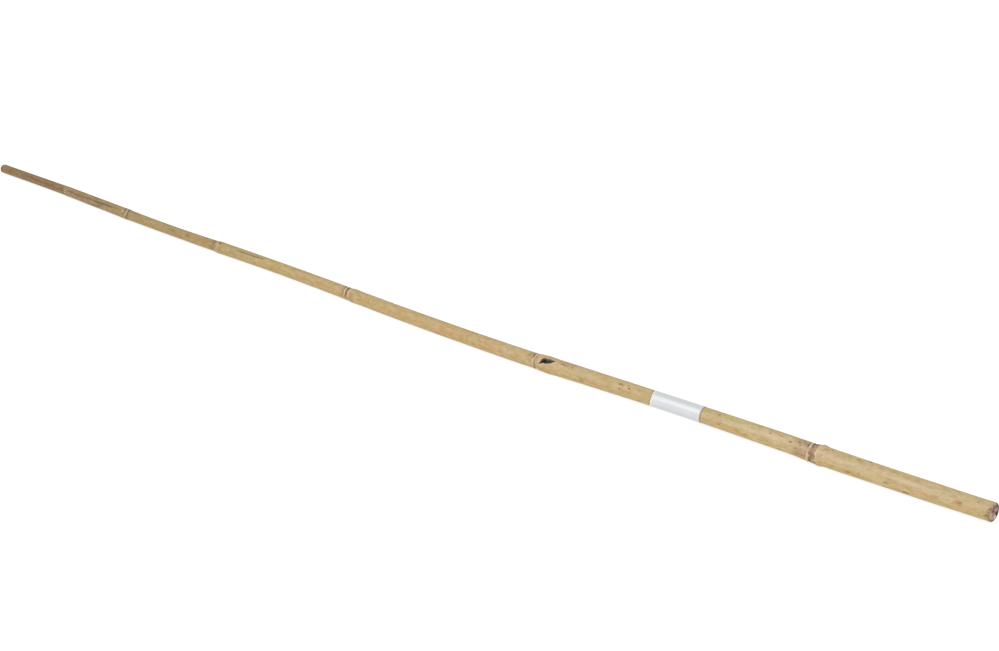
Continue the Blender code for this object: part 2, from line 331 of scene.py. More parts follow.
def bark_grid():
    """Positions, straightened coordinates and rings of the bark, as arrays of rings by sides."""
    x = ring_positions()[:, None]
    angle = (math.tau * (np.arange(SIDES) + 0.5) / SIDES)[None, :]
    x, angle = np.broadcast_arrays(x, angle)
    radius = surface_radius(x, angle) + fine_relief(x, angle)
    edge = np.minimum(x - TIP_X, BUTT_X - x)
    worn = np.clip(END_ROUND - edge, 0.0, END_ROUND)
    radius = radius - (END_ROUND - np.sqrt(np.maximum(END_ROUND**2 - worn**2, 0.0)))
    shift = lean(x, angle)
    along = x + shift - HOLE_X
    around = turn_from(angle, HOLE_ANGLE) * radius
    deep = inside_rim(along, around + 0.25 * np.sin(along * 3.1) + 0.15 * np.sin(along * 7.3))
    radius = radius + HOLE_LIP * np.exp(-((deep + 0.6) / 0.7) ** 2)
    floor = HOLE_FLOOR + HOLE_FLOOR_WAVES * waves(x, angle, 5, 6.0, 20)
    sunk = np.maximum(radius - HOLE_WALL * ease(deep / HOLE_WALL_WIDTH), floor)
    radius = np.where(deep > 0, sunk, radius)
    side, height = softened_centre(x)
    y = side + np.cos(angle) * radius * SHRINK
    z = height + np.sin(angle) * radius * SHRINK
    spot = np.stack([x + shift, y, z], axis=-1) * MM
    straight = np.stack([x, np.cos(angle) * radius, np.sin(angle) * radius], axis=-1) * MM
    return x, angle, deep, spot, straight


def window(angle, middle, half, soft=16.0):
    """1 within half of the middle angle, in degrees, and 0 well outside it."""
    far = np.abs(np.degrees(turn_from(angle, math.radians(middle))))
    return ease((half + soft - far) / soft)


def line(t, place, width):
    """A soft line of this width."""
    return np.exp(-(((t - place) / (0.5 * width)) ** 2))


def ragged(x, angle, seed, amount):
    """An uneven factor round 1, for patchy marks."""
    return np.clip(1.0 + amount * waves(x, angle, seed, 4.0, 22, 11), 0.0, 1.9)


# Marks at the nodes: node, kind, distance from the ring, width, strength, middle angle and half the reach
NODE_MARKS = (
    (0, "stain", -6.0, 10.0, 0.40, 0.0, 180.0),
    (0, "cream", 2.0, 3.0, 0.12, 160.0, 50.0),
    (0, "dark", -2.0, 3.0, 0.45, 165.0, 50.0),
    (1, "cream", 1.0, 2.4, 0.55, 138.0, 34.0),
    (1, "dark", -5.2, 3.4, 0.70, 112.0, 26.0),
    (1, "cream", -10.0, 4.0, 0.35, 128.0, 20.0),
    (1, "stain", -7.0, 5.0, 0.55, 160.0, 40.0),
    (1, "dark", 4.2, 3.6, 0.85, 150.0, 56.0),
    (1, "stain", 4.0, 5.0, 0.45, 120.0, 40.0),
    (2, "dark", 0.4, 2.6, 0.90, 126.0, 66.0),
    (2, "stain", 5.8, 3.4, 1.00, 128.0, 52.0),
    (2, "dark", 5.8, 2.2, 0.30, 128.0, 50.0),
    (2, "cream", 3.2, 1.8, 0.30, 125.0, 50.0),
    (2, "cream", 9.6, 5.0, 0.32, 145.0, 56.0),
    (2, "stain", -5.0, 8.0, 0.55, 150.0, 80.0),
    (3, "dark", -7.2, 2.4, 0.60, 122.0, 54.0),
    (3, "dark", -1.3, 3.3, 0.95, 118.0, 62.0),
    (3, "stain", -1.0, 5.0, 0.60, 125.0, 90.0),
    (3, "cream", -4.3, 2.4, 0.60, 124.0, 54.0),
    (3, "cream", 3.4, 3.4, 0.55, 122.0, 56.0),
    (3, "stain", -9.5, 4.0, 0.35, 130.0, 70.0),
    (3, "stain", 8.0, 12.0, 0.45, 195.0, 45.0),
    (4, "stain", -5.5, 8.0, 0.42, 118.0, 40.0),
    (4, "stain", -0.6, 3.2, 0.95, 108.0, 36.0),
    (4, "dark", -0.1, 2.4, 0.70, 94.0, 34.0),
    (4, "cream", 2.4, 1.9, 0.95, 106.0, 14.0),
    (4, "cream", 0.4, 1.8, 0.66, 158.0, 30.0),
    (4, "stain", 4.0, 1.6, 0.80, 132.0, 22.0),
    (4, "stain", 2.6, 1.9, 0.90, 172.0, 18.0),
    (4, "dark", 2.9, 2.3, 0.72, 206.0, 24.0),
    (4, "stain", 2.6, 3.6, 0.70, 200.0, 30.0),
    (4, "cream", 8.2, 8.0, 0.22, 128.0, 56.0),
    (5, "stain", -9.0, 17.0, 0.48, 160.0, 100.0),
    (5, "dark", -2.4, 2.2, 0.95, 115.0, 5.0),
    (5, "stain", -2.0, 3.6, 0.75, 140.0, 60.0),
    (5, "cream", -0.1, 2.4, 1.00, 100.0, 24.0),
    (5, "cream", 0.0, 2.4, 0.80, 194.0, 24.0),
    (5, "dark", 2.4, 3.0, 1.00, 90.0, 14.0),
    (5, "dark", 2.6, 1.8, 0.62, 118.0, 10.0),
    (5, "dark", 2.1, 2.0, 0.80, 159.0, 5.0),
    (5, "dark", 2.6, 2.8, 1.00, 212.0, 18.0),
    (5, "stain", 5.0, 8.2, 1.00, 150.0, 120.0),
    (5, "dark", 5.9, 2.0, 0.45, 166.0, 4.0),
    (5, "dark", 7.4, 1.8, 0.40, 149.0, 3.0),
    (5, "cream", 9.4, 2.0, 1.00, 154.0, 4.0),
    (5, "cream", 9.9, 2.0, 0.80, 138.0, 5.0),
    (5, "cream", 10.6, 2.4, 0.35, 116.0, 14.0),
    (5, "cream", 10.6, 2.6, 0.30, 190.0, 22.0),
    (5, "dark", 10.2, 3.0, 0.95, 226.0, 16.0),
    (5, "dark", 8.6, 2.4, 0.85, 171.0, 2.0),
    (5, "dark", 6.6, 7.0, 0.55, 74.0, 12.0),
)

# The plain ring on each node's far side: its place, then its marks with their distance from that place
FAR_RING_PLACES = (-0.5, 3.0, 0.4, -1.2, -0.4, 2.4)
FAR_RING_MARKS = (
    ("dark", 0.0, 2.2, 0.62, 332.0, 82.0),
    ("stain", 3.0, 6.0, 0.50, 332.0, 82.0),
    ("cream", -2.4, 1.8, 0.38, 332.0, 80.0),
)

# A wide stain after the fifth node's ring
WIDE_STAIN = (4, "stain", 6.0, 7.0, 0.44, 140.0, 54.0)


def all_node_marks():
    """Every mark at the nodes. Its number in this order chooses how ragged it is."""
    marks = list(NODE_MARKS)
    for node, place in enumerate(FAR_RING_PLACES):
        for kind, distance, *rest in FAR_RING_MARKS:
            marks.append((node, kind, place + distance, *rest))
    return marks + [WIDE_STAIN]


def node_masks(x, angle):
    """The dark, cream and stained marks at the nodes, from 0 to 1."""
    masks = {kind: np.zeros(x.shape) for kind in ("dark", "cream", "stain")}
    for number, mark in enumerate(all_node_marks()):
        node, kind, place, width, strength, middle, half = mark
        t = x - NODES[node][0]
        wander = 0.35 * waves(x, angle, 90 + node, 400.0, 7)
        mask = line(t + wander, place, width) * window(angle, middle, half) * strength
        mask = mask * ragged(x, angle, 200 + number, 0.28 if kind == "cream" else 0.36)
        masks[kind] = np.maximum(masks[kind], np.clip(mask, 0.0, 1.0))
    return masks


# Dark lengthwise streaks: from, to, angle at each end, half width in millimetres and strength
STREAK_FADE = 18.0
STREAKS = (
    (-838.0, -706.0, 138.0, 160.0, 1.3, 0.70),
    (-716.0, -630.0, 151.0, 146.0, 1.7, 0.70),
    (-660.0, -548.0, 145.0, 137.0, 1.30, 0.95),
    (-664.0, -590.0, 230.0, 172.0, 1.0, 0.85),
    (-800.0, -690.0, 215.0, 214.0, 1.2, 0.75),
    (-264.0, -200.0, 129.0, 123.0, 0.80, 0.95),
    (344.0, 376.0, 121.0, 119.5, 0.55, 0.85),
)


def streak_mask(x, angle, radius):
    """The dark lengthwise streaks, from 0 to 1."""
    total = np.zeros(x.shape)
    for number, (low, high, first, last, half, strength) in enumerate(STREAKS):
        share = np.clip((x - low) / (high - low), 0.0, 1.0)
        middle = np.radians(first + (last - first) * share)
        middle = middle + 0.04 * waves(x, 0.0 * angle, 300 + number, 40.0, 0)
        around = turn_from(angle, middle) * radius
        fade = ease((x - low) / STREAK_FADE) * ease((high - x) / STREAK_FADE)
        thick = half * (1.0 + 0.35 * waves(x, 0.0 * angle, 320 + number, 26.0, 0))
        total = np.maximum(total, strength * fade * np.exp(-((around / np.maximum(thick, 0.3)) ** 2)))
    return total


LABEL_SHADOW_WIDTH = 1.6
LABEL_SHADOW_STRENGTH = 0.50


def label_edge_shadow_mask(x, angle):
    """Painted shadow: thin dark lines on the bark just outside the label's two edges, where the label's
    raised edges shade it.
    """
    turn = np.cos(angle - NEAR_ANGLE)
    beside = 0.5 * LABEL_SHADOW_WIDTH
    first = line(x - LABEL_END_LEANS[0] * turn, LABEL_FROM - beside, LABEL_SHADOW_WIDTH)
    last = line(x - LABEL_END_LEANS[1] * turn, LABEL_TO + beside, LABEL_SHADOW_WIDTH)
    return LABEL_SHADOW_STRENGTH * np.maximum(first, last)


def worn_rim_mask(x, angle):
    """A darker line where the bark meets the thick end's cut, stronger on the far side."""
    near = 0.45 * window(angle, 175.0, 34.0)
    far = 0.80 * window(angle, 15.0, 50.0)
    return np.maximum(near, far) * line(x, BUTT_X - 0.5, 1.8) * ragged(x, angle, 350, 0.4)


# Pale band, partly waxy bloom and partly a painted highlight where the light's sheen falls: angle, half
# width, strength, where it starts and how long it takes to reach its full strength
BLOOM_AND_SHEEN = (math.radians(146.0), math.radians(17.0), 0.75, 420.0, 260.0)


def bloom_and_sheen_mask(x, angle):
    """The pale band along the upper near side, towards the thick end: partly waxy bloom, partly a painted
    highlight.
    """
    where, width, strength, low, growth = BLOOM_AND_SHEEN
    middle = where + 0.10 * waves(x, 0.0 * angle, 401, 160.0, 0)
    band = np.exp(-((turn_from(angle, middle) / width) ** 2))
    return strength * band * ease((x - low) / growth) * (1.0 - 0.8 * window(angle, 300.0, 60.0))


def add_mesh(name, points, faces, materials, kinds=None, smooth=True):
    """A new mesh object. Kinds gives the number of each face's material."""
    data = bpy.data.meshes.new(name)
    data.from_pydata([tuple(p) for p in points], [], faces)
    for material in materials:
        data.materials.append(material)
    if kinds is not None:
        data.polygons.foreach_set("material_index", kinds)
    data.polygons.foreach_set("use_smooth", [smooth] * len(data.polygons))
    data.update()
    made = bpy.data.objects.new(name, data)
    bpy.context.scene.collection.objects.link(made)
    return made


def add_values(made, name, values):
    """Stores a value or a vector for each point under a name that materials read."""
    values = np.asarray(values, np.float32)
    kind = "FLOAT_VECTOR" if values.ndim == 2 else "FLOAT"
    layer = made.data.attributes.new(name, kind, "POINT")
    layer.data.foreach_set("vector" if values.ndim == 2 else "value", values.ravel())


def quads(first, second, flip):
    """Faces between two rings given by the number of their first points."""
    result = []
    for k in range(SIDES):
        n = (k + 1) % SIDES
        face = (first + k, first + n, second + n, second + k)
        result.append(face[::-1] if flip else face)
    return result


def end_rings(x_end, inward, hollow, outline):
    """Rings of a cut face and of the hollow in it, from the rim inwards."""
    radius, depth, off_y, off_z = hollow
    angle = math.tau * (np.arange(SIDES) + 0.5) / SIDES
    side, height = softened_centre(np.array([x_end]))
    uneven = 1.0 + 0.07 * np.cos(2.0 * angle + 0.6) + 0.04 * np.cos(3.0 * angle)
    uneven = uneven + 0.05 * waves(0.0 * angle, angle, 7, 10.0, 9)
    rim = np.stack([
        np.full(SIDES, x_end),
        side[0] + off_y + np.cos(angle) * radius * uneven,
        height[0] + off_z + np.sin(angle) * radius * uneven,
    ], axis=-1)
    middle = rim.mean(axis=0)
    rings = []
    for share in CUT_SHARES:
        ring = outline + (rim - outline) * share
        rough = CUT_ROUGHNESS * (1.0 + waves(share * 30.0 + 0 * angle, angle, 17, 9.0, 12, 9))
        ring[:, 0] = x_end + inward * np.maximum(rough, 0.0)
        ring[:, 0] += inward * 0.5 * ease(np.array((share - 0.85) / 0.15))
        rings.append((ring, "cut"))
    for deep, share in HOLLOW_TAPER:
        ring = middle + (rim - middle) * share
        ring[:, 0] = x_end + inward * deep * depth
        rings.append((ring, "hollow"))
    return rings


# Stains on the thick end's cut, and painted shade on its far rim: kind, middle angle, half reach, softness,
# zone and strength
CUT_STAINS_AND_SHADE = (
    # painted shade: dark crescent on the far rim, standing in for the hollow's shadow
    ("dark", 8.0, 38.0, 16.0, "rim", 0.97),
    ("dark", 52.0, 18.0, 14.0, "worn", 0.85),
    ("dark", 206.0, 10.0, 12.0, "worn", 0.55),
    ("dark", 262.0, 8.0, 12.0, "worn", 0.75),
    # painted shade: lower end of the same dark crescent
    ("dark", 330.0, 12.0, 12.0, "outer", 0.90),
    ("cream", 300.0, 12.0, 12.0, "middle", 1.00),
    ("cream", 78.0, 12.0, 12.0, "worn", 0.85),
    ("cream", 212.0, 12.0, 14.0, "middle", 0.45),
    ("stain", 66.0, 26.0, 18.0, "middle", 1.00),
    ("stain", 204.0, 14.0, 14.0, "worn", 1.00),
    ("stain", 254.0, 26.0, 16.0, "worn", 1.00),
)


def end_marks(kind, thick_end, ring, side, height, outline):
    """Stains and painted shade on a cut face, by direction and by how far out towards its rim."""
    marks = {name: np.zeros(SIDES) for name in ("dark", "cream", "stain")}
    if kind != "cut" or not thick_end:
        return marks
    y, z = ring[:, 1] - side, ring[:, 2] - height
    angle = np.arctan2(z, y)
    reach = np.hypot(y, z) / np.hypot(outline[:, 1] - side, outline[:, 2] - height)
    zones = {
        "rim": ease((reach - 0.74) / 0.10),
        "worn": ease((reach - 0.86) / 0.06),
        "outer": ease((reach - 0.46) / 0.10),
        "middle": ease((reach - 0.44) / 0.08) * (1.0 - ease((reach - 0.72) / 0.14)),
    }
    for name, middle, half, soft, zone, strength in CUT_STAINS_AND_SHADE:
        mark = strength * window(angle, middle, half, soft) * zones[zone]
        marks[name] = np.maximum(marks[name], mark)
    return marks


# Strip below with a tint of its own, and the strip facing the camera that is left out of the painted light on
# the sides: middle, half reach and softness
LOWER_STRIP = (202.0, 22.0, 24.0)
UNLIGHTENED_FACING_STRIP = (150.0, 12.0, 26.0)

# How strongly the fine lines show on the thicker part, how much more on the thin part, and where that changes
LINED = 0.38
LINED_MORE = 0.50
LINED_FROM = -560.0
LINED_GROWTH = 60.0

# Torn bark round the hole: how far outside its rim, and how wide
TORN_PLACE = 1.0
TORN_WIDTH = 1.1


def bark_masks(x, angle, deep):
    """Where each kind of mark, painted shade and painted light lies on the bark, from 0 to 1."""
    masks = node_masks(x, angle)
    masks["streak"] = streak_mask(x, angle, surface_radius(x, angle))
    # painted shade: the floor of the hole, to be painted dark like the unlit inside of the cane
    masks["broken"] = ease((deep + 0.25) / 0.5)
    masks["torn"] = np.exp(-((deep + TORN_PLACE) / TORN_WIDTH) ** 2)
    # painted shadow beside the label's edges joins the dark marks
    masks["dark"] = np.maximum(masks["dark"], label_edge_shadow_mask(x, angle))
    masks["dark"] = np.maximum(masks["dark"], worn_rim_mask(x, angle))
    # partly waxy bloom, partly a painted highlight band
    masks["bloom_and_sheen"] = bloom_and_sheen_mask(x, angle)
    masks["low"] = 0.75 * window(angle, *LOWER_STRIP)
    # painted light: everywhere outside the strip facing the camera is lightened, so the stem's shading falls
    # off less towards its edges
    masks["side"] = 1.0 - window(angle, *UNLIGHTENED_FACING_STRIP)
    masks["lined"] = LINED + LINED_MORE * ease((LINED_FROM - x) / LINED_GROWTH)
    return masks


# The stem's materials, by number
BARK, CUT, HOLLOW = range(3)


class Skin:
    """The points, faces and values of a surface while it is made."""

    def __init__(self, spot, straight, masks):
        self.points = [spot.reshape(-1, 3)]
        self.coords = [straight.reshape(-1, 3)]
        self.values = {name: [mask.reshape(-1)] for name, mask in masks.items()}
        self.total = spot.shape[0] * SIDES
        self.faces = []
        self.kinds = []

    def sew(self, first, second, kind, flip=False):
        made = quads(first, second, flip)
        self.faces += made
        self.kinds += [kind] * len(made)

    def close_end(self, x_end, inward, hollow, before, outline):
        """The cut face and the hollow of one end, sewn to the ring of points that starts at before."""
        thick_end = x_end > 0
        side, height = softened_centre(np.array([x_end]))
        for ring, kind in end_rings(x_end, inward, hollow, outline):
            self.points.append(ring * MM)
            self.coords.append((ring - np.array([0.0, side[0], height[0]])) * MM)
            marks = end_marks(kind, thick_end, ring, side[0], height[0], outline)
            for name, parts in self.values.items():
                parts.append(marks.get(name, np.zeros(SIDES)))
            self.sew(before, self.total, CUT if kind == "cut" else HOLLOW, not thick_end)
            before = self.total
            self.total += SIDES
        cap = tuple(before + k for k in range(SIDES))
        self.faces.append(cap if thick_end else cap[::-1])
        self.kinds.append(HOLLOW)


def build_cane(materials, box):
    """The stem's fine surface, kept inside the box of the part's solids."""
    x, angle, deep, spot, straight = bark_grid()
    spot = np.clip(spot, box[0], box[1])
    last = x.shape[0] - 1
    skin = Skin(spot, straight, bark_masks(x, angle, deep))
    for row in range(last):
        skin.sew(row * SIDES, (row + 1) * SIDES, BARK)
    skin.close_end(TIP_X, 1.0, TIP_HOLLOW, 0, spot[0] / MM)
    skin.close_end(BUTT_X, -1.0, BUTT_HOLLOW, last * SIDES, spot[last] / MM)
    made = add_mesh("cane_stem", np.concatenate(skin.points), skin.faces, materials, skin.kinds)
    add_values(made, "straight", np.concatenate(skin.coords))
    for name, parts in skin.values.items():
        add_values(made, name, np.concatenate(parts))
    return made


def label_rings():
    """Rings across the label from its seam round to its overlap, as arrays of steps by turns."""
    angle = LABEL_SEAM + (math.tau + LABEL_OVERLAP) * np.arange(LABEL_TURNS + 1) / LABEL_TURNS
    steps = np.linspace(0.0, 1.0, LABEL_STEPS)
    x0 = LABEL_FROM + (LABEL_TO - LABEL_FROM) * steps
    x, angle = np.meshgrid(x0, angle, indexing="ij")
    rise = ease((angle - LABEL_SEAM - math.tau + LABEL_RISE_TURN) / LABEL_RISE_TURN)
    lift = LABEL_CLEAR + LABEL_SHEET * rise * LABEL_RISE
    lift = lift + LABEL_WAVES * waves(x, angle, 71, 40.0, 6)
    return x, angle, lift


def label_lean(share):
    """How far the label's rings lean, from its first edge to its last."""
    first, last = LABEL_END_LEANS
    return first + (last - first) * np.clip(share, 0.0, 1.0)


def label_points(x, angle, lift):
    """Points at this height above the bark, leaning as the label does."""
    share = (x - LABEL_FROM) / (LABEL_TO - LABEL_FROM)
    along = x + label_lean(share) * np.cos(angle - NEAR_ANGLE)
    side, height = softened_centre(along)
    radius = (surface_radius(along, angle) + lift) * SHRINK
    spot = np.stack([along, side + np.cos(angle) * radius, height + np.sin(angle) * radius], axis=-1)
    return spot * MM


def label_faces(rows, cols):
    """Faces of the label's outer side, its inner side and its four edges."""
    size = rows * cols
    faces = []
    for r in range(rows - 1):
        for c in range(cols - 1):
            a, b = r * cols + c, r * cols + c + 1
            d, e = a + cols, b + cols
            faces.append((a, b, e, d))
            faces.append((size + d, size + e, size + b, size + a))
    for r in range(rows - 1):
        a, d = r * cols, (r + 1) * cols
        faces.append((a, d, size + d, size + a))
        a, d = r * cols + cols - 1, (r + 1) * cols + cols - 1
        faces.append((d, a, size + a, size + d))
    for c in range(cols - 1):
        faces.append((c + 1, c, size + c, size + c + 1))
        a = (rows - 1) * cols + c
        faces.append((a, a + 1, size + a + 1, size + a))
    return faces


def build_label(material):
    """The label as a thin sheet wound once round the stem, with its end laid over its start."""
    x, angle, lift = label_rings()
    outer = label_points(x, angle, lift + LABEL_SHEET)
    inner = label_points(x, angle, lift)
    points = np.concatenate([outer.reshape(-1, 3), inner.reshape(-1, 3)])
    made = add_mesh("label_band", points, label_faces(*x.shape), [material])
    flat = np.stack([x, np.cos(angle) * LABEL_RADIUS, np.sin(angle) * LABEL_RADIUS], axis=-1)
    flat = flat.reshape(-1, 3) * MM
    add_values(made, "straight", np.concatenate([flat, flat]))
    edge = np.minimum(x - LABEL_FROM, LABEL_TO - x)
    rim = np.exp(-((edge / LABEL_RIM) ** 2)).reshape(-1)
    add_values(made, "rim", np.concatenate([rim, rim]))
    return made


# Sockets of a mix node that mixes colours: factor, first, second and result
COLOUR_MIX_INPUTS = (0, 6, 7)
COLOUR_MIX_OUTPUT = 2


class Graph:
    """Short calls for building a material's nodes."""

    def __init__(self, name):
        self.material = bpy.data.materials.new(name)
        self.material.use_nodes = True
        self.tree = self.material.node_tree
        self.shader = self.tree.nodes["Principled BSDF"]

    def node(self, kind, inputs=None, **settings):
        made = self.tree.nodes.new(kind)
        for key, value in settings.items():
            setattr(made, key, value)
        for key, value in (inputs or {}).items():
            self.set(made.inputs[key], value)
        return made

    def set(self, socket, value):
        if isinstance(value, bpy.types.NodeSocket):
            self.tree.links.new(value, socket)
        else:
            socket.default_value = value

    def attribute(self, name, vector=False):
        made = self.node("ShaderNodeAttribute", attribute_name=name)
        return made.outputs["Vector" if vector else "Fac"]

    def math(self, operation, first, second):
        return self.node("ShaderNodeMath", {0: first, 1: second}, operation=operation).outputs[0]

    def scaled(self, vector, scale):
        return self.node("ShaderNodeVectorMath", {0: vector, 1: scale}, operation="MULTIPLY").outputs[0]

    def noise(self, vector, scale, detail, roughness, distortion=0.0):
        made = self.node("ShaderNodeTexNoise", {
            "Vector": vector,
            "Scale": scale,
            "Detail": detail,
            "Roughness": roughness,
            "Distortion": distortion,
        })
        return made.outputs["Fac"]

    def band(self, value, low, high, to_low=0.0, to_high=1.0):
        made = self.node("ShaderNodeMapRange", {
            "Value": value, "From Min": low, "From Max": high, "To Min": to_low, "To Max": to_high,
        }, interpolation_type="SMOOTHSTEP")
        return made.outputs["Result"]

    def ramp(self, value, stops):
        made = self.node("ShaderNodeValToRGB", {"Fac": value})
        marks = made.color_ramp.elements
        while len(marks) < len(stops):
            marks.new(0.5)
        for mark, (place, colour) in zip(marks, stops):
            mark.position = place
            mark.color = colour
        return made.outputs["Color"]

    def mix(self, share, first, second, blend="MIX"):
        made = self.node("ShaderNodeMix", data_type="RGBA", blend_type=blend)
        for socket, value in zip(COLOUR_MIX_INPUTS, (share, first, second)):
            self.set(made.inputs[socket], value)
        return made.outputs[COLOUR_MIX_OUTPUT]

    def tinted(self, colour, share, strength, tint):
        """The colour multiplied by a tint, where share times strength says."""
        return self.mix(self.math("MULTIPLY", share, strength), colour, (*tint, 1.0), "MULTIPLY")

    def marked(self, colour, name, mottled, mark):
        """The colour with the marks of one mask laid over it, broken up by a mottling."""
        return self.mix(self.math("MULTIPLY", self.attribute(name), mottled), colour, mark)

    def bump(self, height, strength, distance, normal=None):
        made = self.node("ShaderNodeBump", {"Height": height, "Strength": strength, "Distance": distance})
        if normal is not None:
            self.set(made.inputs["Normal"], normal)
        return made.outputs["Normal"]


# How bright the light makes a surface that faces it, as a multiple of the surface's own colour
LIGHT = 1.40


def shown(red, green, blue):
    """The base colour that looks like this on a screen, 0 to 255, where the light falls on it."""
    result = []
    for value in (red, green, blue):
        value = value / 255.0
        linear = value / 12.92 if value <= 0.04045 else ((value + 0.055) / 1.055) ** 2.4
        result.append(linear / LIGHT)
    return (*result, 1.0)


# Small marks on the bark: place, angle, half length and half width in millimetres, kind and strength
SPOTS = (
    (867.9, 159.2, 4.2, 2.7, "rust", 0.62),
    (869.5, 161.0, 1.6, 1.0, "brown", 0.45),
    (810.7, 209.0, 4.0, 1.2, "brown", 0.75),
    (787.6, 189.0, 3.2, 1.2, "rust", 0.50),
    (850.3, 137.4, 2.0, 1.0, "brown", 0.32),
    (861.2, 134.8, 1.8, 0.9, "brown", 0.25),
    (874.0, 137.5, 4.0, 0.8, "rust", 0.35),
    (744.7, 197.2, 2.0, 1.3, "rust", 0.90),
    (757.1, 184.3, 2.2, 1.1, "rust", 0.45),
    (751.9, 103.3, 2.2, 1.2, "brown", 0.40),
    (764.0, 87.9, 2.6, 1.2, "brown", 0.60),
    (790.0, 179.6, 3.6, 1.0, "rust", 0.45),
    (785.9, 228.0, 3.5, 1.2, "brown", 0.60),
    (896.6, 188.0, 1.4, 1.6, "brown", 0.50),
    (896.8, 141.0, 1.4, 1.2, "pale", 0.35),
    (670.7, 137.8, 1.6, 1.1, "brown", 0.50),
    (680.8, 198.0, 3.0, 1.6, "rust", 0.45),
    (680.3, 117.2, 2.0, 1.2, "brown", 0.45),
    (577.6, 117.0, 1.5, 0.8, "brown", 0.75),
    (583.0, 102.4, 2.2, 0.9, "brown", 0.40),
    (582.2, 151.1, 0.9, 0.8, "grey", 0.60),
    (581.2, 179.2, 1.1, 0.8, "dark", 0.60),
    (596.0, 125.4, 2.2, 0.9, "rust", 0.40),
    (645.3, 126.8, 1.4, 0.8, "brown", 0.80),
    (651.0, 120.0, 1.6, 0.9, "pale", 0.50),
    (671.3, 135.1, 1.8, 0.8, "brown", 0.60),
    (679.2, 162.2, 1.6, 0.8, "brown", 0.60),
    (663.9, 198.6, 2.0, 1.0, "pale", 0.60),
    (657.9, 117.4, 2.6, 0.9, "rust", 0.45),
    (614.7, 196.7, 4.5, 0.9, "rust", 0.45),
    (636.6, 192.5, 5.0, 0.9, "rust", 0.40),
    (320.0, 171.0, 1.2, 0.9, "brown", 0.55),
    (321.3, 191.0, 1.3, 0.9, "brown", 0.60),
    (316.3, 122.6, 1.2, 0.9, "brown", 0.80),
    (304.4, 125.7, 3.0, 1.6, "rust", 0.50),
    (321.8, 100.0, 2.2, 1.4, "pale", 0.50),
    (327.8, 105.0, 1.4, 1.0, "pale", 0.80),
    (333.6, 88.0, 1.8, 0.8, "brown", 0.60),
    (325.8, 200.0, 3.0, 1.8, "rust", 0.45),
    (343.6, 157.8, 1.2, 0.8, "brown", 0.40),
    (325.0, 170.0, 2.4, 0.6, "pale", 0.60),
    (688.2, 113.0, 2.2, 1.2, "brown", 0.45),
    (688.3, 193.0, 1.6, 1.2, "brown", 0.45),
    (688.5, 201.0, 1.8, 1.0, "rust", 0.40),
    (686.0, 144.8, 2.0, 1.1, "pale", 0.35),
    (700.8, 129.0, 2.4, 1.6, "rust", 0.25),
    (712.4, 132.1, 2.4, 1.6, "pale", 0.45),
    (708.5, 136.1, 2.0, 1.2, "pale", 0.40),
    (713.8, 159.3, 2.4, 1.4, "pale", 0.35),
    (713.6, 108.9, 2.6, 1.2, "brown", 0.35),
    (722.6, 109.8, 3.6, 1.3, "rust", 0.35),
    (356.5, 122.0, 1.2, 0.7, "dark", 0.80),
    (360.1, 124.5, 1.1, 0.7, "dark", 0.80),
    (364.4, 121.0, 1.2, 0.6, "dark", 0.70),
    (371.0, 121.0, 1.6, 0.6, "dark", 0.60),
    (364.0, 97.0, 14.0, 2.4, "rust", 0.42),
    (388.3, 192.5, 4.0, 2.2, "rust", 0.60),
    (443.4, 129.9, 3.4, 1.5, "rust", 0.95),
    (443.1, 162.4, 1.5, 1.1, "dark", 0.50),
    (455.8, 141.3, 1.7, 1.0, "brown", 0.95),
    (453.1, 127.4, 1.3, 0.8, "brown", 0.50),
    (451.0, 170.5, 9.0, 0.9, "rust", 0.40),
    (224.1, 140.4, 1.6, 1.1, "grey", 0.75),
    (261.9, 178.3, 3.6, 1.2, "rust", 0.50),
    (261.0, 112.1, 3.0, 1.0, "rust", 0.40),
    (-302.5, 113.5, 2.6, 1.3, "dark", 0.95),
    (-206.0, 122.4, 3.0, 1.0, "dark", 0.50),
    (-562.0, 130.0, 9.0, 1.9, "rust", 0.60),
    (-370.0, 141.0, 16.0, 1.8, "rust", 0.60),
    (-343.0, 146.0, 13.0, 1.8, "rust", 0.65),
    (-336.0, 130.0, 18.0, 2.0, "rust", 0.45),
    (-372.5, 147.7, 3.4, 1.2, "brown", 0.80),
    (-409.5, 145.0, 12.0, 2.0, "brown", 0.35),
    (-478.8, 126.3, 4.0, 1.4, "brown", 0.40),
    (-897.5, 200.0, 3.0, 6.5, "dark", 0.55),
    (-710.2, 153.0, 2.2, 1.2, "pale", 0.36),
    (-709.5, 179.0, 2.2, 1.2, "pale", 0.36),
    (-706.6, 131.5, 2.0, 1.1, "pale", 0.28),
    (-680.0, 191.0, 2.0, 1.0, "pale", 0.50),
    (-713.5, 199.0, 2.4, 1.6, "dark", 0.55),
    (-783.6, 152.7, 4.0, 1.4, "brown", 0.60),
    (-758.7, 160.3, 4.0, 1.3, "brown", 0.60),
    (-723.5, 147.0, 4.0, 1.4, "brown", 0.60),
    (-868.8, 154.0, 5.0, 1.6, "brown", 0.55),
    (-541.8, 135.4, 1.8, 1.2, "pale", 0.60),
)


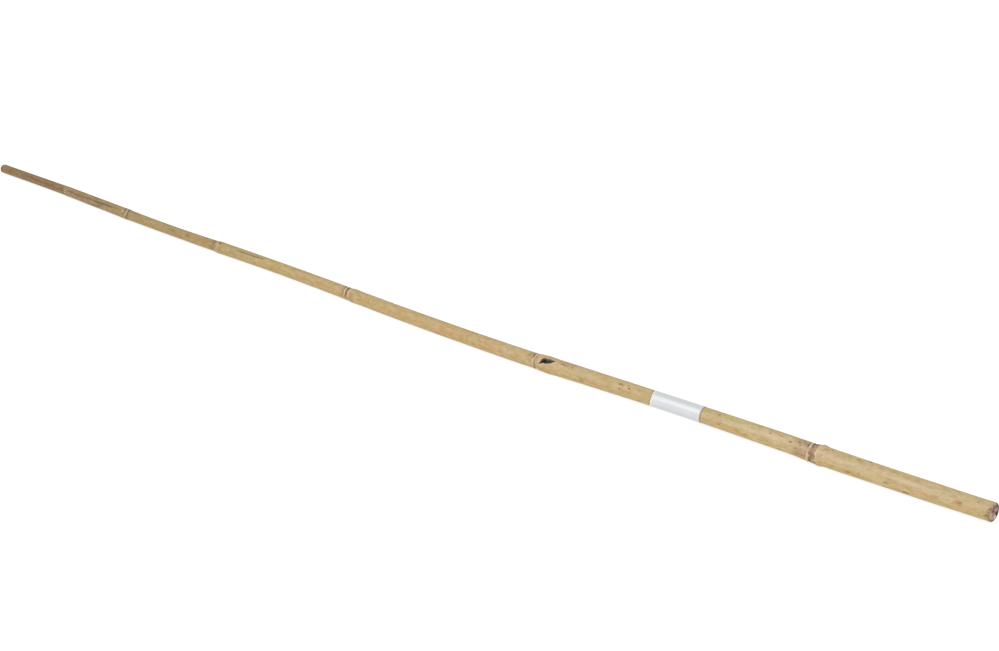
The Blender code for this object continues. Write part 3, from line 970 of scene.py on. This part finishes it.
def bark_tone(g, straight):
    """The bark's colour before its marks: greyer and browner towards the thin end, with soft mottling and
    painted light on its sides.
    """
    along = g.node("ShaderNodeSeparateXYZ", {0: straight}).outputs[0]
    share = g.node("ShaderNodeMapRange", {"Value": along, "From Min": -0.9, "From Max": 0.9}).outputs[0]
    tone = g.ramp(share, (
        (0.00, shown(144, 113, 71)),
        (0.096, shown(147, 118, 76)),
        (0.108, shown(161, 134, 91)),
        (0.17, shown(164, 139, 94)),
        (0.20, shown(166, 141, 96)),
        (0.235, shown(174, 150, 101)),
        (0.26, shown(171, 148, 98)),
        (0.33, shown(181, 159, 107)),
        (0.38, shown(190, 167, 114)),
        (0.50, shown(198, 171, 122)),
        (0.62, shown(201, 173, 126)),
        (0.72, shown(205, 181, 137)),
        (1.00, shown(206, 183, 139)),
    ))
    patches = g.noise(g.scaled(straight, (14.0, 90.0, 90.0)), 1.0, 3.0, 0.6)
    colour = g.tinted(tone, g.band(patches, 0.42, 0.64), 0.60, (0.95, 0.97, 0.84))
    rosy = g.noise(g.scaled(straight, (52.0, 190.0, 190.0)), 1.0, 3.0, 0.6)
    colour = g.tinted(colour, g.band(rosy, 0.50, 0.62), 0.80, (0.99, 0.89, 0.80))
    olive = g.noise(g.scaled(straight, (80.0, 260.0, 260.0)), 1.0, 4.0, 0.62, 0.5)
    colour = g.tinted(colour, g.band(olive, 0.51, 0.62), 0.75, (0.88, 0.88, 0.70))
    colour = g.tinted(colour, g.band(olive, 0.46, 0.36), 0.70, (1.10, 1.10, 1.12))
    chequer = g.noise(g.scaled(straight, (120.0, 240.0, 240.0)), 1.0, 3.0, 0.6)
    colour = g.tinted(colour, g.band(chequer, 0.50, 0.60), g.attribute("lined"), (0.80, 0.77, 0.70))
    colour = g.tinted(colour, g.band(chequer, 0.49, 0.39), g.attribute("lined"), (1.16, 1.14, 1.10))
    # painted light: the sides are lightened so the stem looks less shaded towards its edges
    colour = g.tinted(colour, g.attribute("side"), 1.0, (1.07, 1.07, 1.06))
    orange = g.noise(g.scaled(straight, (24.0, 420.0, 420.0)), 1.0, 3.0, 0.6, 0.3)
    return g.tinted(colour, g.band(orange, 0.47, 0.60), g.attribute("low"), (1.00, 0.86, 0.70))


def bamboo_material():
    """The bark with its fine lines, its waxy bloom with a painted highlight, marks and spots, painted light
    on its sides and painted shade in its hole.
    """
    g = Graph("bamboo_bark")
    straight = g.attribute("straight", True)
    colour = bark_tone(g, straight)
    broad = g.noise(g.scaled(straight, (16.0, 480.0, 480.0)), 1.0, 4.0, 0.6)
    fine = g.noise(g.scaled(straight, (45.0, 1900.0, 1900.0)), 1.0, 3.0, 0.6)
    streaks = g.math("ADD", g.math("MULTIPLY", broad, 0.6), g.math("MULTIPLY", fine, 0.4))
    colour = g.tinted(colour, g.band(streaks, 0.48, 0.34), g.attribute("lined"), (0.70, 0.62, 0.50))
    speck = g.noise(g.scaled(straight, (330.0, 800.0, 800.0)), 1.0, 2.0, 0.5)
    colour = g.mix(g.math("MULTIPLY", g.band(speck, 0.62, 0.72), 0.60), colour, shown(146, 112, 70))
    # painted highlight mixed with waxy bloom: a pale band where the sheen falls
    bloom_and_sheen = g.noise(g.scaled(straight, (30.0, 300.0, 300.0)), 1.0, 3.0, 0.6)
    colour = g.marked(colour, "bloom_and_sheen", g.band(bloom_and_sheen, 0.40, 0.60, 0.10, 1.0), shown(214, 194, 162))
    mottle = g.noise(g.scaled(straight, (260.0, 420.0, 420.0)), 1.0, 4.0, 0.65)
    colour = g.marked(colour, "stain", g.band(mottle, 0.32, 0.62, 0.45, 1.0), shown(148, 112, 78))
    colour = g.marked(colour, "torn", g.band(mottle, 0.36, 0.62, 0.2, 0.8), shown(226, 190, 140))
    colour = g.marked(colour, "cream", g.band(mottle, 0.26, 0.60, 0.62, 1.0), shown(240, 214, 180))
    # dark node marks and the worn rim, together with the painted shadow beside the label's edges
    colour = g.marked(colour, "dark", g.band(mottle, 0.28, 0.60, 0.55, 1.0), shown(96, 68, 48))
    colour = g.marked(colour, "streak", g.band(mottle, 0.25, 0.55, 0.6, 1.0), shown(98, 66, 42))
    for spot in SPOTS:
        colour = add_spot(g, colour, straight, mottle, *spot)
    # painted shade: the hole's floor is dark blue-grey, standing in for the shaded hollow behind it
    colour = g.mix(g.attribute("broken"), colour, shown(66, 70, 76))
    g.set(g.shader.inputs["Base Color"], colour)
    rougher = g.math("MULTIPLY", g.attribute("broken"), 0.4)
    rough = g.math("ADD", g.band(streaks, 0.3, 0.7, 0.40, 0.54), rougher)
    g.set(g.shader.inputs["Roughness"], rough)
    g.shader.inputs["Specular IOR Level"].default_value = 0.28
    normal = g.bump(fine, 0.20, 0.0002)
    normal = g.bump(broad, 0.25, 0.0004, normal)
    normal = g.bump(mottle, 0.20, 0.0002, normal)
    g.set(g.shader.inputs["Normal"], normal)
    return g.material


SPOT_COLOURS = {
    "rust": (178, 124, 66),
    "brown": (122, 88, 42),
    "dark": (76, 52, 34),
    "grey": (150, 128, 98),
    "pale": (236, 206, 170),
}


def add_spot(g, colour, straight, mottle, place, angle, half_long, half_wide, kind, strength):
    """A small soft-edged mark at one place on the bark."""
    radius = float(stem_radius(np.array([place]))[0])
    middle = (place, math.cos(math.radians(angle)) * radius, math.sin(math.radians(angle)) * radius)
    offset = g.node("ShaderNodeVectorMath", {
        0: straight, 1: tuple(-value * MM for value in middle),
    }, operation="ADD").outputs[0]
    scale = (1.0 / (half_long * MM), 1.0 / (half_wide * MM), 1.0 / (half_wide * MM))
    far = g.node("ShaderNodeVectorMath", {0: g.scaled(offset, scale)}, operation="LENGTH").outputs["Value"]
    far = g.math("ADD", far, g.math("MULTIPLY", g.math("SUBTRACT", mottle, 0.5), 1.6))
    share = g.math("MULTIPLY", g.band(far, 1.35, 0.60), strength)
    return g.mix(share, colour, shown(*SPOT_COLOURS[kind]))


def cut_material():
    """The sawn wood, with the dark dots of its fibres."""
    g = Graph("cut_wood")
    straight = g.attribute("straight", True)
    cloud = g.noise(g.scaled(straight, (60.0, 330.0, 330.0)), 1.0, 4.0, 0.6)
    colour = g.ramp(g.band(cloud, 0.30, 0.70), (
        (0.0, shown(172, 130, 108)),
        (0.45, shown(204, 166, 142)),
        (0.75, shown(228, 194, 170)),
        (1.0, shown(246, 222, 196)),
    ))
    dots = g.node("ShaderNodeTexVoronoi", {"Vector": straight, "Scale": 1300.0}).outputs["Distance"]
    colour = g.mix(g.band(dots, 0.34, 0.18, 0.0, 0.60), colour, shown(136, 100, 84))
    colour = g.mix(g.math("MULTIPLY", g.attribute("stain"), 0.80), colour, shown(148, 100, 68))
    colour = g.mix(g.attribute("cream"), colour, shown(255, 243, 220))
    # dark marks on the cut, including the painted shade of the crescent on its far rim
    colour = g.mix(g.attribute("dark"), colour, shown(80, 36, 28))
    g.set(g.shader.inputs["Base Color"], colour)
    g.set(g.shader.inputs["Roughness"], g.band(cloud, 0.3, 0.7, 0.75, 0.92))
    normal = g.bump(dots, 0.4, 0.0003)
    g.set(g.shader.inputs["Normal"], g.bump(cloud, 0.5, 0.0006, normal))
    return g.material


def hollow_material():
    """The pith inside an end's hollow, darker towards its top."""
    g = Graph("hollow_pith")
    straight = g.attribute("straight", True)
    cloud = g.noise(g.scaled(straight, (80.0, 400.0, 400.0)), 1.0, 4.0, 0.6)
    colour = g.ramp(cloud, (
        (0.3, shown(176, 140, 124)),
        (0.5, shown(232, 206, 192)),
        (0.7, shown(250, 234, 224)),
    ))
    height = g.node("ShaderNodeSeparateXYZ", {0: straight}).outputs[2]
    colour = g.tinted(colour, g.band(height, 0.0002, 0.0026), 1.0, (0.60, 0.50, 0.44))
    g.set(g.shader.inputs["Base Color"], colour)
    g.set(g.shader.inputs["Roughness"], g.band(cloud, 0.3, 0.7, 0.8, 0.95))
    g.set(g.shader.inputs["Normal"], g.bump(cloud, 0.5, 0.0005))
    return g.material


def label_material():
    """Plain smooth paper with faint lines and paler edges."""
    g = Graph("label_sheet")
    straight = g.attribute("straight", True)
    lines = g.noise(g.scaled(straight, (5.0, 300.0, 300.0)), 1.0, 2.0, 0.5)
    cloud = g.noise(g.scaled(straight, (40.0, 60.0, 60.0)), 1.0, 3.0, 0.5)
    colour = g.mix(g.band(lines, 0.35, 0.65), shown(220, 223, 225), shown(230, 231, 232))
    colour = g.mix(g.math("MULTIPLY", g.band(cloud, 0.4, 0.7), 0.4), colour, shown(218, 221, 227))
    colour = g.mix(g.attribute("rim"), colour, shown(255, 250, 247))
    g.set(g.shader.inputs["Base Color"], colour)
    g.set(g.shader.inputs["Roughness"], g.band(lines, 0.3, 0.7, 0.24, 0.34))
    g.shader.inputs["Specular IOR Level"].default_value = 0.6
    grain = g.noise(straight, 2600.0, 2.0, 0.5)
    normal = g.bump(grain, 0.10, 0.0001)
    g.set(g.shader.inputs["Normal"], g.bump(cloud, 0.3, 0.0006, normal))
    return g.material


FLOOR_GREYS = ((0.25, 0.25, 0.25, 1.0), (0.26, 0.26, 0.26, 1.0))
FLOOR_GLOW = 0.80
WHITE = (1.0, 1.0, 1.0, 1.0)


def floor_material():
    """A pale table lit a little from below, so that the shadow on it stays light."""
    g = Graph("pale_floor")
    place = g.node("ShaderNodeNewGeometry").outputs["Position"]
    cloud = g.noise(place, 2.0, 3.0, 0.5)
    colour = g.mix(g.band(cloud, 0.3, 0.7), *FLOOR_GREYS)
    g.set(g.shader.inputs["Base Color"], colour)
    g.set(g.shader.inputs["Roughness"], g.band(cloud, 0.3, 0.7, 0.85, 0.95))
    g.shader.inputs["Specular IOR Level"].default_value = 0.1
    g.shader.inputs["Emission Color"].default_value = WHITE
    g.shader.inputs["Emission Strength"].default_value = FLOOR_GLOW
    return g.material


FLOOR_HALF = 20.0
FLOOR_DROP = 0.0001


def build_floor():
    """The table that the cane lies on, a hair below it."""
    corners = ((-1, -1), (1, -1), (1, 1), (-1, 1))
    points = [(FLOOR_HALF * x, FLOOR_HALF * y, 0.0) for x, y in corners]
    floor = add_mesh("studio_floor", points, [(0, 1, 2, 3)], [floor_material()], smooth=False)
    floor.location.z = -FLOOR_DROP
    return floor


WORLD_STRENGTH = 0.72


def add_sun(name, strength, azimuth, elevation, spread):
    """A soft distant light. Azimuth is where it stands, in degrees from +X towards +Y."""
    light = bpy.data.lights.new(name, "SUN")
    light.energy = strength
    light.angle = math.radians(spread)
    made = bpy.data.objects.new(name, light)
    made.rotation_euler = (math.radians(90.0 - elevation), 0.0, math.radians(azimuth + 90.0))
    bpy.context.scene.collection.objects.link(made)


def build_light():
    """Even light from all round, and one soft light."""
    world = bpy.data.worlds.new("studio")
    bpy.context.scene.world = world
    world.use_nodes = True
    background = world.node_tree.nodes["Background"]
    background.inputs["Color"].default_value = WHITE
    background.inputs["Strength"].default_value = WORLD_STRENGTH
    add_sun("key_light", strength=1.95, azimuth=-125.0, elevation=38.0, spread=50.0)


# Camera, at the photograph's viewing angle
CAMERA_PLACE = (1.66793, -1.41886, 0.76122)
CAMERA_PITCH = 19.896
CAMERA_TURN = 45.119
FOCAL_PIXELS = 1805.08
FRAME_WIDTH = 999.0
SENSOR_WIDTH = 36.0


def build_camera():
    """The camera that sees the cane as the photograph does."""
    data = bpy.data.cameras.new("view")
    data.sensor_fit = "HORIZONTAL"
    data.sensor_width = SENSOR_WIDTH
    data.lens = FOCAL_PIXELS / FRAME_WIDTH * SENSOR_WIDTH
    data.clip_start = 0.01
    data.clip_end = 100.0
    made = bpy.data.objects.new("view", data)
    made.location = CAMERA_PLACE
    made.rotation_euler = (math.radians(90.0 - CAMERA_PITCH), 0.0, math.radians(CAMERA_TURN))
    bpy.context.scene.collection.objects.link(made)
    bpy.context.scene.camera = made


def main():
    build_camera()
    build_light()
    build_floor()
    cane = build_cane([bamboo_material(), cut_material(), hollow_material()], CAD_BOX)
    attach(cane, "root")
    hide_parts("cane")
    label = build_label(label_material())
    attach(label, "root")
    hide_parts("label")
    bpy.context.scene.view_settings.view_transform = "Standard"


main()
